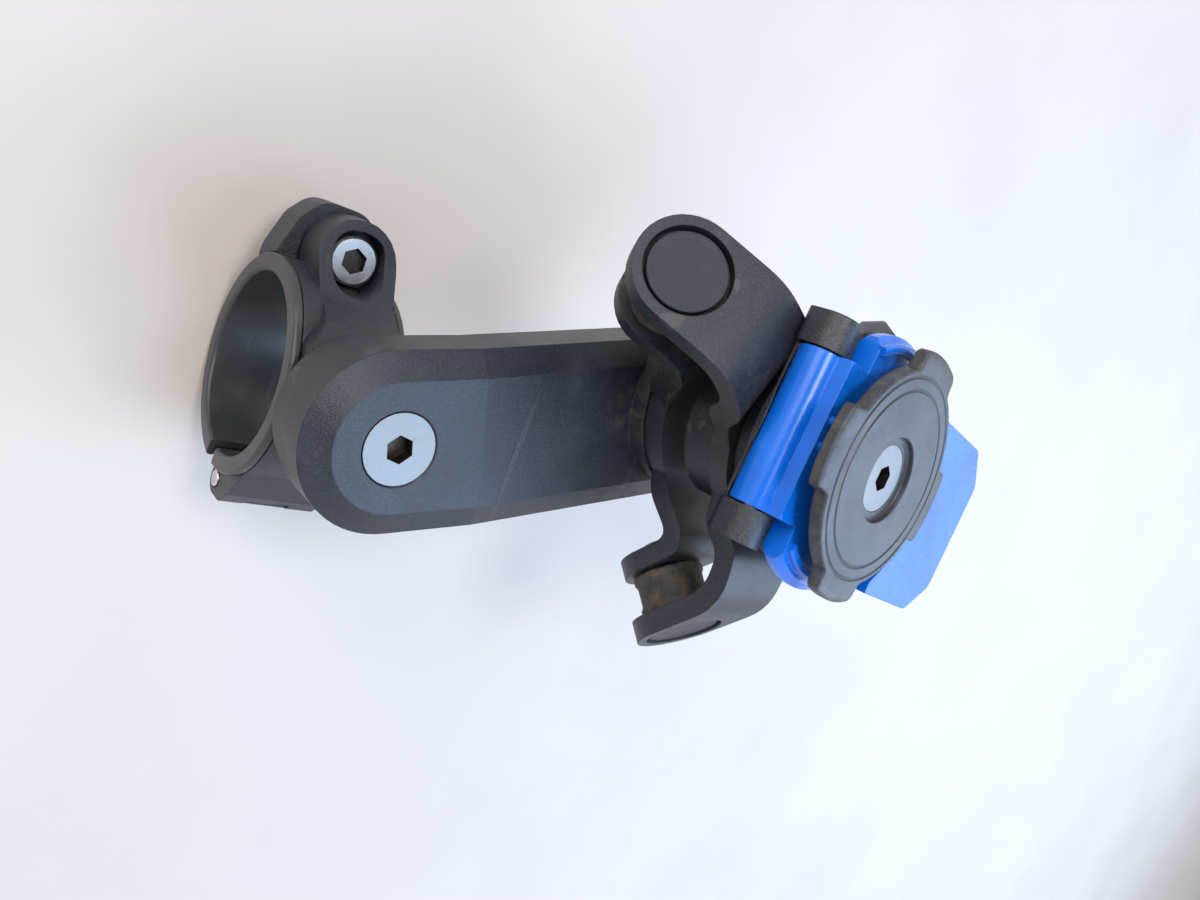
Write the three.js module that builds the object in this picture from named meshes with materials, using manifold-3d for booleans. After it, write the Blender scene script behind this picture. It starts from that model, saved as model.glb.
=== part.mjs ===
// A phone mount for a handlebar: a hinged bar clamp, a swinging arm, a three-legged
// rubber damper, and a twist-lock head with a sprung release lever.
// Millimetres. The origin is the centre of the handlebar bore, +X runs along the bar,
// and +Z leaves the clamp through the arm's pivot.
import * as THREE from "three";
import { mergeVertices } from "three/addons/utils/BufferGeometryUtils.js";
import Module from "manifold-3d";

const wasm = await Module();
wasm.setup();

// Driving dimensions

const barRadius = 15.9; // a 31.8 mm handlebar
const fit = 0.2; // running gap between turned faces
const seat = 0.3; // gap between faces that rest on each other

const liner = { wall: 1.4, from: -12, to: 7.8, flange: 1.3, rise: 1.9, slot: 3.2 };
const clamp = { wall: 1.7, split: -2.5, splitGap: 1 };
const ear = { x: -0.6, reach: 2.8, radius: 7.1, top: 5, neck: 6.4, rearBottom: -10.2, rearWidth: 10.6 };
const hinge = { reach: 2, z: -0.6, knuckle: 2.8, pin: 1.5, middle: 3.4 };
const boss = { radius: 13.7, neck: 10.3, rise: 3.6 };

const m5 = { shank: 2.45, hole: 3.2, head: 4.25, headHeight: 3.2, hex: 4, nutFlats: 8, nut: 3 };
const m6 = {
  shank: 2.95,
  hole: 3.25,
  head: 5.8,
  coneHeight: 3.1,
  hex: 4,
  nutFlats: 10,
  nut: 5,
  thinNut: 3.2,
};

const arm = {
  rise: 14.3, // from the boss to the flat face round the arm bolt
  thickness: 11.5,
  pivotRadius: 14.6,
  endRadius: 16,
  endShift: -3.5, // the head end widens to one side
  reach: 64, // from the pivot to the head's axis
  angle: 16.6, // turned from the bar's direction
  bendAt: 14,
  bend: 7.4, // degrees, the outer stretch leans down by this
  chamfer: 4.2,
  chamferDepth: 2.3,
  endBoss: 16.5,
};

const damper = {
  turn: 12.4, // degrees, the legs' turn from symmetric about the arm
  legWidth: 17.9,
  innerWidth: 16.4,
  flare: 4, // each side of a leg spreads by this toward the hub
  hub: 16,
  tilt: 44, // degrees, a grommet's axis above the hub plane
  along: 20.2, // a lobe's centre, measured down its own slope
  innerTop: 1,
  innerPlate: 4,
  innerLobe: 20.6, // distance of the inner lobe's back face from the axis, square to the face
  innerLobeWall: 3.6,
  outerLobe: 32.3,
  outerLobeWall: 4,
  outerTop: 16,
  outerPlate: 4,
  bossBottom: 5.2,
  bossRadius: 14.6,
  foldTop: 20.8,
};
const grommet = { radius: 6.7, bore: 2.2, waist: 0.5 };
const pin = { radius: 1.95, head: 3.8, headHeight: 1.5, tip: 33 };
const cap = { radius: 6.55, thickness: 1.5, below: 0.4, recess: 7.25 };

const head = { turn: 153.9, plateRadius: 19.5, plateBottom: 21.2, plateTop: 23, post: 9, postTop: 31 };
const lever = {
  barrelX: 16.3,
  barrelZ: 25,
  barrel: 3.75,
  halfLength: 13.2,
  ringInner: 13,
  ringOuter: 22.5,
  bottom: 27.2,
  top: 31.2,
  tabReach: 43.4,
  tabTop: 34.5,
  tabShift: 1.6, // the tab sits a little to one side of the ring
  tabRoot: 17,
  tabTip: 14,
  pin: 1.3,
};
const knuckle = { radius: 3.9, outer: 19.2 };
const spring = { x: -16.5, coil: 2.1, wire: 0.35, turns: 4, pocket: 3, pocketDepth: 0.9 };
const disc = {
  top: 36.8,
  plate: 2.6,
  root: 18.8,
  lug: 21.8,
  lugHalfAngle: 17,
  lugRamp: 5,
  neck: 11,
  recess: 7.3,
  recessDepth: 1.1,
};

// Values that follow from them

const radians = THREE.MathUtils.degToRad;
const clampBore = barRadius + liner.wall + fit;
const clampRadius = clampBore + clamp.wall;
const flangeRadius = barRadius + liner.wall + liner.rise;
const earY = clampRadius + ear.reach;
const hingeY = -clampRadius - hinge.reach;
const bossTop = flangeRadius + boss.rise;
const armFace = bossTop + arm.rise;
const clampFrom = liner.from + liner.flange + fit;
const clampTo = liner.to - liner.flange - fit;
const middleFrom = (clampFrom + clampTo) / 2 - hinge.middle;
const middleTo = (clampFrom + clampTo) / 2 + hinge.middle;
const frontEdge = clamp.split + clamp.splitGap / 2;
const rearEdge = clamp.split - clamp.splitGap / 2;
const earSeat = ear.top - 1.2 - m5.headHeight; // the bolt's head sits 1.2 below the ear's face
const faceDrop = (arm.reach - arm.bendAt) * Math.sin(radians(arm.bend));
const armEnd = arm.bendAt + (arm.reach - arm.bendAt) * Math.cos(radians(arm.bend));
const innerBottom = damper.innerTop - damper.innerPlate;
const innerFace = damper.innerLobe + damper.innerLobeWall;
const outerFace = damper.outerLobe + damper.outerLobeWall;
const outerBottom = damper.outerTop - damper.outerPlate;

// Finishes

const finish = (colour, roughness, metalness) => ({ color: colour, roughness, metalness });
const nylon = finish(0x24272c, 0.55, 0);
const rubber = finish(0x17181a, 0.85, 0);
const steel = finish(0xc4c7ca, 0.28, 1);
const blue = finish(0x0a56c8, 0.22, 0);

// Solids

function solidOf(geometry) {
  const bare = geometry.index ? geometry.toNonIndexed() : geometry.clone();
  bare.deleteAttribute("normal");
  bare.deleteAttribute("uv");
  const merged = mergeVertices(bare, 1e-4);
  const corners = merged.index.array;
  const kept = [];
  for (let i = 0; i < corners.length; i += 3) {
    const [a, b, c] = corners.slice(i, i + 3);
    if (a !== b && b !== c && c !== a) kept.push(a, b, c);
  }
  const vertProperties = merged.attributes.position.array;
  const triVerts = new Uint32Array(kept);
  return new wasm.Manifold(new wasm.Mesh({ numProp: 3, vertProperties, triVerts }));
}

const join = (first, ...others) => others.reduce((whole, piece) => whole.add(piece), first);
const cut = (first, ...others) => others.reduce((whole, piece) => whole.subtract(piece), first);

function moved(geometry, x = 0, y = 0, z = 0) {
  return solidOf(geometry.translate(x, y, z));
}

// A cylinder along Z between two heights
function disk(radius, bottom, top, x = 0, y = 0, segments = 40) {
  const geometry = new THREE.CylinderGeometry(radius, radius, top - bottom, segments);
  return moved(geometry.rotateX(Math.PI / 2), x, y, (bottom + top) / 2);
}

// A cone along Z, with its radius at each end
function cone(bottomRadius, topRadius, bottom, top, segments = 40) {
  const geometry = new THREE.CylinderGeometry(topRadius, bottomRadius, top - bottom, segments);
  return moved(geometry.rotateX(Math.PI / 2), 0, 0, (bottom + top) / 2);
}

function cylinderX(radius, from, to, y = 0, z = 0, segments = 56) {
  const geometry = new THREE.CylinderGeometry(radius, radius, to - from, segments);
  return moved(geometry.rotateZ(-Math.PI / 2), (from + to) / 2, y, z);
}

function cylinderY(radius, from, to, x, z, segments = 32) {
  const geometry = new THREE.CylinderGeometry(radius, radius, to - from, segments);
  return moved(geometry, x, (from + to) / 2, z);
}

function block(x0, x1, y0, y1, z0, z1) {
  const geometry = new THREE.BoxGeometry(x1 - x0, y1 - y0, z1 - z0);
  return moved(geometry, (x0 + x1) / 2, (y0 + y1) / 2, (z0 + z1) / 2);
}

function hexagon(flats, bottom, top, x = 0, y = 0) {
  const geometry = new THREE.CylinderGeometry(flats / Math.sqrt(3), flats / Math.sqrt(3), top - bottom, 6);
  return moved(geometry.rotateX(Math.PI / 2), x, y, (bottom + top) / 2);
}

// A closed outline whose corners [x, y, radius] are rounded
function roundedShape(corners) {
  const shape = new THREE.Shape();
  const count = corners.length;
  corners.forEach(([x, y, radius = 0], i) => {
    const here = new THREE.Vector2(x, y);
    const back = new THREE.Vector2(...corners[(i + count - 1) % count].slice(0, 2)).sub(here);
    const ahead = new THREE.Vector2(...corners[(i + 1) % count].slice(0, 2)).sub(here);
    const turn = Math.acos(back.clone().normalize().dot(ahead.clone().normalize()));
    const most = 0.49 * Math.min(back.length(), ahead.length());
    const run = Math.min(radius / Math.tan(turn / 2), most);
    const start = here.clone().addScaledVector(back.normalize(), run);
    const end = here.clone().addScaledVector(ahead.normalize(), run);
    if (i === 0) shape.moveTo(start.x, start.y);
    else shape.lineTo(start.x, start.y);
    if (radius > 0) shape.quadraticCurveTo(x, y, end.x, end.y);
  });
  shape.closePath();
  return shape;
}

function extruded(shape, bottom, top, curveSegments = 6) {
  const depth = top - bottom;
  const geometry = new THREE.ExtrudeGeometry(shape, { depth, bevelEnabled: false, curveSegments });
  return geometry.translate(0, 0, bottom);
}

// An outline drawn in Y and Z, carried along X
function extrudedX(shape, from, to, curveSegments = 6) {
  const turn = new THREE.Matrix4().makeBasis(
    new THREE.Vector3(0, 1, 0),
    new THREE.Vector3(0, 0, 1),
    new THREE.Vector3(1, 0, 0),
  );
  return solidOf(extruded(shape, from, to, curveSegments).applyMatrix4(turn));
}

// An outline drawn in X and Z, carried both ways along Y
function extrudedY(shape, halfWidth, curveSegments = 6) {
  return solidOf(extruded(shape, -halfWidth, halfWidth, curveSegments).rotateX(Math.PI / 2));
}

function lathe(points, segments = 40) {
  const profile = points.map(([radius, height]) => new THREE.Vector2(radius, height));
  return new THREE.LatheGeometry(profile, segments).rotateX(Math.PI / 2);
}

function mesh(name, solid, look) {
  const made = solid.getMesh();
  const geometry = new THREE.BufferGeometry();
  geometry.setAttribute("position", new THREE.BufferAttribute(made.vertProperties, 3));
  geometry.setIndex(new THREE.BufferAttribute(made.triVerts, 1));
  const flat = geometry.toNonIndexed();
  flat.computeVertexNormals();
  const piece = new THREE.Mesh(flat, new THREE.MeshStandardMaterial(look));
  piece.name = name;
  return piece;
}

// Fasteners

function countersunkScrew(top, tip) {
  const cone0 = cone(m6.shank, m6.head, top - m6.coneHeight, top, 32);
  const shank = disk(m6.shank, tip, top - m6.coneHeight + 0.1, 0, 0, 20);
  return cut(join(cone0, shank), hexagon(m6.hex, top - 2.4, top + 1));
}

function countersink(top) {
  const slope = (m6.head - m6.shank) / m6.coneHeight;
  const extra = seat * slope;
  return join(
    cone(m6.shank + seat, m6.head + seat, top - m6.coneHeight, top, 32),
    disk(m6.head + seat, top - 0.01, top + extra, 0, 0, 32),
  );
}

function nut(flats, bore, bottom, top, x = 0, y = 0) {
  return cut(hexagon(flats, bottom, top, x, y), disk(bore, bottom - 1, top + 1, x, y, 20));
}

// Bar clamp

function linerSleeve() {
  const { from, to, flange, wall } = liner;
  const round = 0.5;
  const profile = [
    [barRadius, from + round],
    [barRadius + round, from],
    [flangeRadius - round, from],
    [flangeRadius, from + round],
    [flangeRadius, from + flange],
    [barRadius + wall, from + flange],
    [barRadius + wall, to - flange],
    [flangeRadius, to - flange],
    [flangeRadius, to - round],
    [flangeRadius - round, to],
    [barRadius + round, to],
    [barRadius, to - round],
  ];
  const ring = solidOf(lathe([...profile, profile[0]], 56).rotateY(Math.PI / 2));
  const half = liner.slot / 2;
  return cut(ring, block(-20, 20, -30, 0, clamp.split - half, clamp.split + half));
}

// The front ear's plan: a round end, a narrower neck and a flare toward the boss
function frontEarPlan() {
  const { x, radius, neck } = ear;
  const y = earY;
  const root = clampRadius;
  const end = Array.from({ length: 13 }, (_, i) => {
    const angle = Math.PI - (i * Math.PI) / 12;
    return [x + radius * Math.cos(angle), y + radius * Math.sin(angle), 0];
  });
  return roundedShape([
    [clampFrom, 2, 0],
    [clampFrom, root - 10.2, 3],
    [x - neck, root - 5.7, 6],
    ...end,
    [x + neck, root - 5.7, 3],
    [clampTo, root - 10.2, 2],
    [clampTo, 2, 0],
  ]);
}

// The front ear's side view: its face ramps up to the boss
function frontEarRamp() {
  const end = earY + ear.radius + 1;
  return roundedShape([
    [0, frontEdge, 0],
    [end, frontEdge, 0],
    [end, ear.top - 0.4, 0],
    [earY + 1, ear.top + 0.4, 8],
    [clampRadius - 3, 10, 6],
    [clampRadius - 6.8, bossTop - 5.3, 4],
    [9, bossTop - 1.8, 0],
    [0, bossTop - 1.8, 0],
  ]);
}

// The rear ear's plan: straight and wider toward one side, round at its end
function rearEarPlan() {
  const end = earY + ear.radius + 0.8;
  return roundedShape([
    [-ear.rearWidth + 0.2, 4, 0],
    [-ear.rearWidth - 0.6, earY - 3, 8],
    [-ear.radius - 1.8, end - 4, 5],
    [-ear.radius + 1.6, end, 5],
    [ear.radius - 4, end, 5],
    [ear.radius - 1.1, end - 5, 5],
    [ear.radius - 1, earY - 3, 4],
    [clampTo, clampRadius - 9.2, 3],
    [clampTo, 4, 0],
  ]);
}

const keepAbove = (z) => block(-60, 60, -60, 60, z, 80);
const keepBelow = (z) => block(-60, 60, -60, 60, -80, z);
const barHole = () => cylinderX(clampBore, -40, 40);

// The room that the liner's flanges need past both faces of the clamp
function flangeRoom() {
  const radius = flangeRadius + fit;
  return join(cylinderX(radius, -40, clampFrom), cylinderX(radius, clampTo, 40));
}

const pinHole = () => cylinderX(hinge.pin + fit, -40, 40, hingeY, hinge.z, 24);

const knuckleRoom = hinge.knuckle + seat;

function clampFrontHalf() {
  const body = cylinderX(clampRadius, clampFrom, clampTo);
  const earSide = extrudedX(frontEarRamp(), -40, 40);
  const earBlock = solidOf(extruded(frontEarPlan(), frontEdge, 60, 8)).intersect(earSide);
  const knuckleRoot = roundedShape([
    [-0.52 * clampRadius, frontEdge, 0],
    [-0.52 * clampRadius, 0.813 * clampRadius, 0],
    [-0.792 * clampRadius, 0.583 * clampRadius, 2],
    [hingeY - 0.4, 6.2, 2],
    [hingeY - hinge.knuckle, 3.2, 1.5],
    [hingeY - hinge.knuckle, hinge.z, 0],
    [hingeY, frontEdge, 0],
  ]);
  const root = extrudedX(knuckleRoot, clampFrom, clampTo);
  const knuckles = cylinderX(hinge.knuckle, clampFrom, clampTo, hingeY, hinge.z, 32);
  const pivot = join(
    disk(boss.neck, 4, flangeRadius + 0.8).intersect(block(clampFrom, clampTo, -40, 40, 0, 60)),
    cone(boss.neck, boss.radius, flangeRadius + fit, bossTop - 1.2),
    disk(boss.radius, bossTop - 1.21, bossTop),
  );
  const half = join(join(body, earBlock, root).intersect(keepAbove(frontEdge)), pivot, knuckles);
  const recess = roundedShape([
    [ear.x - m5.head - 0.5, earY - 5.4, 4.6],
    [ear.x + m5.head + 0.5, earY - 5.4, 4.6],
    [ear.x + m5.head + 0.5, earY + 5.2, 4.6],
    [ear.x - m5.head - 0.5, earY + 5.2, 4.6],
  ]);
  return cut(
    half,
    flangeRoom(),
    barHole(),
    pinHole(),
    cylinderX(knuckleRoom, middleFrom - seat, middleTo + seat, hingeY, hinge.z, 32),
    disk(m5.hole, -20, 20, ear.x, earY, 20),
    solidOf(extruded(recess, earSeat, ear.top + 10, 8)),
    disk(m6.hole, 0, 40, 0, 0, 20),
    hexagon(m6.nutFlats + 2 * fit, 0, bossTop - 1.4),
    block(-6.5, 1.5, hingeY - 5, hingeY - hinge.knuckle + 1.2, 2.6, 9),
  );
}

function clampRearHalf() {
  const body = cylinderX(clampRadius, clampFrom, clampTo);
  const earBlock = solidOf(extruded(rearEarPlan(), ear.rearBottom, rearEdge, 8));
  const half = join(body, earBlock).intersect(keepBelow(rearEdge));
  const web = roundedShape([
    [-0.73 * clampRadius, -0.78 * clampRadius, 2],
    [-0.73 * clampRadius, rearEdge, 0],
    [hingeY + 1, rearEdge + 1, 0],
    [hingeY - 2.2, hinge.z, 0],
    [hingeY - 2.2, hinge.z - 1.5, 2],
    [hingeY + 1.4, -9, 3],
  ]);
  const trimmed = cut(
    half,
    cylinderX(knuckleRoom, clampFrom - 1, middleFrom, hingeY, hinge.z, 32),
    cylinderX(knuckleRoom, middleTo, clampTo + 1, hingeY, hinge.z, 32),
  );
  const knuckleArm = join(
    extrudedX(web, middleFrom, middleTo),
    cylinderX(hinge.knuckle, middleFrom, middleTo, hingeY, hinge.z, 32),
  );
  return cut(
    join(trimmed, knuckleArm),
    flangeRoom(),
    barHole(),
    pinHole(),
    disk(m5.hole, -20, 20, ear.x, earY, 20),
    hexagon(m5.nutFlats + 2 * fit, ear.rearBottom - 1, ear.rearBottom + m5.nut + 0.6, ear.x, earY),
  );
}

function clampBolt() {
  const tip = ear.rearBottom + 0.6;
  const headTop = earSeat + seat + m5.headHeight;
  const body = join(
    disk(m5.head, earSeat + seat, headTop - 0.4, ear.x, earY, 40),
    moved(
      new THREE.CylinderGeometry(m5.head - 0.4, m5.head, 0.41, 40).rotateX(Math.PI / 2),
      ear.x,
      earY,
      headTop - 0.2,
    ),
    disk(m5.shank, tip, earSeat + 1, ear.x, earY, 20),
  );
  return cut(body, hexagon(m5.hex, headTop - 1.8, headTop + 1, ear.x, earY));
}

// Arm: x runs from the pivot to the head, z is up from the clamp

// The part of the arm's length: a bar with round ends and a wide chamfer round its upper face
function armSlab(bottom) {
  const outline = new THREE.Shape();
  const lean = Math.atan2(arm.endShift, armEnd);
  const length = Math.hypot(arm.endShift, armEnd);
  const spread = Math.acos((arm.pivotRadius - arm.endRadius) / length);
  outline.absarc(0, 0, arm.pivotRadius, lean + spread, lean - spread + 2 * Math.PI, false);
  outline.absarc(armEnd, arm.endShift, arm.endRadius, lean - spread, lean + spread, false);
  outline.closePath();
  const chamfered = new THREE.ExtrudeGeometry(outline, {
    depth: 40,
    bevelThickness: arm.chamferDepth,
    bevelSize: arm.chamfer,
    bevelOffset: -arm.chamfer,
    bevelSegments: 1,
    curveSegments: 16,
  });
  const upper = solidOf(chamfered.translate(0, 0, armFace - 40 - arm.chamferDepth));
  const lower = new THREE.ExtrudeGeometry(outline, {
    depth: 40,
    bevelThickness: 1,
    bevelSize: 1,
    bevelOffset: -1,
    bevelSegments: 1,
    curveSegments: 16,
  });
  return upper.intersect(solidOf(lower.translate(0, 0, bottom + 1)));
}

// Everything past the bend, in a frame turned about the bend line
function pastBend(solid, degrees) {
  const turn = new THREE.Matrix4()
    .makeTranslation(arm.bendAt, 0, armFace)
    .multiply(new THREE.Matrix4().makeRotationY(radians(degrees)))
    .multiply(new THREE.Matrix4().makeTranslation(-arm.bendAt, 0, -armFace));
  return solid.transform(turn.elements);
}

function armBody() {
  const bottom = armFace - arm.thickness;
  const beyond = (x) => pastBend(block(x, 160, -60, 60, -60, 120), arm.bend / 2);
  const near = cut(armSlab(bottom), beyond(arm.bendAt + 0.05));
  const far = pastBend(armSlab(bottom), arm.bend).intersect(beyond(arm.bendAt));
  const endBossTop = armFace + faceDrop + innerBottom - seat;
  const bosses = join(
    disk(arm.pivotRadius - 0.6, bossTop + seat, bottom + 1),
    pastBend(disk(arm.endBoss, armFace - 1, endBossTop, armEnd, 0, 48), arm.bend),
  );
  const pocketTop = bottom + m6.nut + 0.6;
  const damperHole = join(
    disk(m6.hole, 0, 60, armEnd, 0, 24),
    hexagon(m6.nutFlats + 2 * fit, 0, pocketTop, armEnd, 0),
  );
  return cut(
    join(near, far, bosses),
    disk(m6.hole, 0, 60, 0, 0, 20),
    countersink(armFace),
    pastBend(damperHole, arm.bend),
  );
}

// Damper: z runs up the head's axis, from the height of the arm's pivot face

// A point of a leg's profile: distance from the axis and height, from the place on the lobe's slope
function lobePoint(square, down) {
  const c = Math.cos(radians(damper.tilt));
  const s = Math.sin(radians(damper.tilt));
  return [square * c + down * s, square * s - down * c];
}

// Turns a solid drawn square to a lobe, z outwards and x down its slope, into leg 1's plane
function onLobe(geometry) {
  const c = Math.cos(radians(damper.tilt));
  const s = Math.sin(radians(damper.tilt));
  const basis = new THREE.Matrix4().makeBasis(
    new THREE.Vector3(s, 0, -c),
    new THREE.Vector3(0, 1, 0),
    new THREE.Vector3(c, 0, s),
  );
  return geometry.applyMatrix4(basis);
}

function lobeDisk(radius, from, to, segments = 28) {
  const geometry = new THREE.CylinderGeometry(radius, radius, to - from, segments);
  geometry.rotateX(Math.PI / 2).translate(damper.along, 0, (from + to) / 2);
  return solidOf(onLobe(geometry));
}

// The outline of a leg seen square to its lobe: a round end, straight sides and a flare at the hub
function legMask(width, flareAt) {
  const half = width / 2;
  const outline = new THREE.Shape();
  outline.moveTo(-60, -half - damper.flare);
  outline.lineTo(flareAt - 7, -half - damper.flare);
  outline.quadraticCurveTo(flareAt - 2, -half, flareAt + 4, -half);
  outline.lineTo(damper.along, -half);
  outline.absarc(damper.along, 0, half, -Math.PI / 2, Math.PI / 2, false);
  outline.lineTo(flareAt + 4, half);
  outline.quadraticCurveTo(flareAt - 2, half, flareAt - 7, half + damper.flare);
  outline.lineTo(-60, half + damper.flare);
  outline.closePath();
  return solidOf(onLobe(extruded(outline, -60, 80, 10)));
}

// Height's place on the line that keeps a given distance square to the lobe
function atHeight(square, height) {
  const c = Math.cos(radians(damper.tilt));
  const s = Math.sin(radians(damper.tilt));
  return [(square - height * s) / c, height];
}

function innerLeg() {
  const end = damper.along + damper.legWidth;
  const top = damper.innerTop;
  const fold = top + 7.4;
  return roundedShape([
    [6, innerBottom, 0],
    [damper.hub + 0.8, innerBottom, 8],
    [...atHeight(damper.innerLobe, top + 4.2), 2.5],
    [...lobePoint(damper.innerLobe, end), 0],
    [...lobePoint(innerFace, end), 0],
    [...atHeight(innerFace, fold), 4],
    [damper.hub + 5.6, fold, 4],
    [damper.hub - 0.8, top, 7],
    [6, top, 0],
  ]);
}

function outerLeg() {
  const end = damper.along + damper.legWidth;
  return roundedShape([
    [6, outerBottom, 0],
    [damper.hub + 2, outerBottom, 5],
    [damper.hub + 6, damper.foldTop - damper.outerLobeWall, 5],
    [...atHeight(damper.outerLobe, damper.foldTop - damper.outerLobeWall), 8],
    [...lobePoint(damper.outerLobe, end), 0],
    [...lobePoint(outerFace, end), 0],
    [...atHeight(outerFace, damper.foldTop), 12],
    [damper.hub + 4, damper.foldTop, 5],
    [damper.hub - 0.4, damper.outerTop, 4],
    [6, damper.outerTop, 0],
  ]);
}

const aroundAxis = (solid, degrees) => solid.rotate([0, 0, degrees]);
const threeLegs = (leg) => join(leg, aroundAxis(leg, 120), aroundAxis(leg, 240));

function innerChassis() {
  const leg = cut(
    extrudedY(innerLeg(), damper.innerWidth).intersect(legMask(damper.innerWidth, 10)),
    lobeDisk(pin.radius + fit, damper.innerLobe - 5, innerFace + 5, 24),
  );
  return cut(
    join(disk(damper.hub, innerBottom, damper.innerTop), threeLegs(leg)),
    disk(m6.hole, -20, 20, 0, 0, 20),
    countersink(damper.innerTop),
  );
}

function outerChassis() {
  const leg = cut(
    extrudedY(outerLeg(), damper.legWidth).intersect(legMask(damper.legWidth, 1)),
    lobeDisk(pin.head - 0.2, damper.outerLobe - 5, outerFace + 5, 24),
    lobeDisk(cap.recess, outerFace - cap.below - cap.thickness - seat, outerFace + 5, 32),
  );
  const hub = join(
    disk(damper.hub, outerBottom, damper.outerTop),
    disk(damper.bossRadius, damper.bossBottom, outerBottom + 1),
  );
  return cut(
    join(hub, threeLegs(leg)),
    disk(m6.hole, -20, 30, 0, 0, 20),
    hexagon(m6.nutFlats + 2 * fit, damper.bossBottom - 1, damper.bossBottom + m6.nut + 0.5),
  );
}

function grommetBody() {
  const { radius, bore, waist } = grommet;
  const from = innerFace + seat;
  const to = damper.outerLobe - seat;
  const lip = 1.4;
  const profile = [
    [bore, from],
    [radius - 0.4, from],
    [radius, from + 0.4],
    [radius, from + lip],
    [radius - waist, from + lip + waist],
    [radius - waist, to - lip - waist],
    [radius, to - lip],
    [radius, to - 0.4],
    [radius - 0.4, to],
    [bore, to],
  ];
  const geometry = lathe([...profile, profile[0]], 24).translate(damper.along, 0, 0);
  return solidOf(onLobe(geometry));
}

function grommetPin() {
  const under = damper.innerLobe - seat;
  return join(
    lobeDisk(pin.head, under - pin.headHeight, under, 28),
    lobeDisk(pin.radius, under - 0.1, pin.tip, 20),
  );
}

function lobeCap() {
  const top = outerFace - cap.below;
  return lobeDisk(cap.radius, top - cap.thickness, top, 32);
}

// Head: x points from the axis to the lever's hinge

function headBase() {
  const { plateRadius, plateBottom, plateTop, post, postTop } = head;
  const { barrelX, barrelZ } = lever;
  const side = knuckle.outer;
  const barrelRoom = lever.halfLength + seat;
  const foot = roundedShape([
    [barrelX - knuckle.radius - 2.4, plateBottom, 0],
    [barrelX + knuckle.radius, plateBottom, 1.5],
    [barrelX + knuckle.radius, barrelZ, 0],
    [barrelX - knuckle.radius, barrelZ, 0],
    [barrelX - knuckle.radius - 2.4, plateTop, 0],
  ]);
  const top = cylinderY(knuckle.radius, -side, side, barrelX, barrelZ, 32);
  const ears = cut(
    join(extrudedY(foot, side), top),
    block(0, 40, -barrelRoom, barrelRoom, plateBottom - 1, 60),
  );
  const yoke = block(4, barrelX + 2.4, -side, side, plateBottom, plateTop - 0.55);
  return cut(
    join(
      disk(damper.bossRadius, damper.outerTop + seat, plateBottom + 0.5),
      disk(plateRadius, plateBottom, plateTop),
      disk(post, plateTop - 0.5, postTop),
      ears,
      cut(yoke, cylinderY(lever.barrel + seat, -30, 30, barrelX, barrelZ, 36)),
    ),
    cylinderY(lever.barrel + seat, -barrelRoom, barrelRoom, barrelX, barrelZ, 36),
    cylinderY(lever.pin + fit, -side - 5, side - 1.6, barrelX, barrelZ, 24),
    disk(m6.hole, 0, 60, 0, 0, 20),
    disk(spring.pocket, plateTop - spring.pocketDepth, plateTop + 4, spring.x, 0, 24),
  );
}

function leverBody() {
  const l = lever;
  const rim = 1.2;
  const profile = [
    [l.ringInner, l.bottom],
    [l.ringOuter - rim, l.bottom],
    [l.ringOuter, l.bottom + rim],
    [l.ringOuter, l.top - rim],
    [l.ringOuter - rim, l.top],
    [l.ringInner, l.top],
  ];
  const ring = solidOf(lathe([...profile, profile[0]], 56));
  const tabPlan = roundedShape([
    [-l.ringInner - 3, l.tabShift - l.tabRoot, 0],
    [-l.tabReach + 7, l.tabShift - l.tabRoot, 3],
    [-l.tabReach, l.tabShift - l.tabTip + 3, 3],
    [-l.tabReach, l.tabShift + l.tabTip - 3, 3],
    [-l.tabReach + 7, l.tabShift + l.tabRoot, 3],
    [-l.ringInner - 3, l.tabShift + l.tabRoot, 0],
  ]);
  const tab = solidOf(extruded(tabPlan, l.bottom - 0.2, l.tabTop));
  const underDisc = disk(disc.lug + 1, l.top, 60, 0, 0, 56);
  const earRoom = (sign) => {
    const near = l.halfLength + 0.1;
    const far = knuckle.outer + 8;
    return block(l.barrelX - 4.8, 40, sign > 0 ? near : -far, sign > 0 ? far : -near, 0, 60);
  };
  const behindBarrel = block(l.barrelX + 1, 40, -40, 40, 0, 60);
  const body = join(cut(ring, earRoom(1), earRoom(-1), behindBarrel), cut(tab, underDisc));
  const open = cut(body, disk(l.ringInner, 0, 60, 0, 0, 56));
  const barrel = cylinderY(l.barrel, -l.halfLength, l.halfLength, l.barrelX, l.barrelZ, 40);
  return cut(
    join(open, barrel),
    cylinderY(l.pin + fit, -30, 30, l.barrelX, l.barrelZ, 24),
    disk(spring.pocket, 0, l.bottom + spring.pocketDepth, spring.x, 0, 24),
  );
}

function leverPin() {
  return cylinderY(lever.pin, -knuckle.outer, knuckle.outer - 2, lever.barrelX, lever.barrelZ, 24);
}

// A round wire wound in a helix
class Helix extends THREE.Curve {
  constructor(radius, turns, bottom, top) {
    super();
    Object.assign(this, { radius, turns, bottom, top });
  }
  getPoint(t, target = new THREE.Vector3()) {
    const angle = 2 * Math.PI * this.turns * t;
    const height = this.bottom + (this.top - this.bottom) * t;
    return target.set(this.radius * Math.cos(angle), this.radius * Math.sin(angle), height);
  }
}

function leverSpring() {
  const { coil, wire, turns, pocketDepth, x } = spring;
  const bottom = head.plateTop - pocketDepth + seat + wire;
  const top = lever.bottom + pocketDepth - seat - wire;
  const round = new THREE.Shape().absarc(0, 0, wire, 0, 2 * Math.PI, false);
  const geometry = new THREE.ExtrudeGeometry(round, {
    steps: turns * 10,
    curveSegments: 3,
    bevelEnabled: false,
    extrudePath: new Helix(coil, turns, bottom, top),
  });
  return moved(geometry, x, 0, 0);
}

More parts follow.
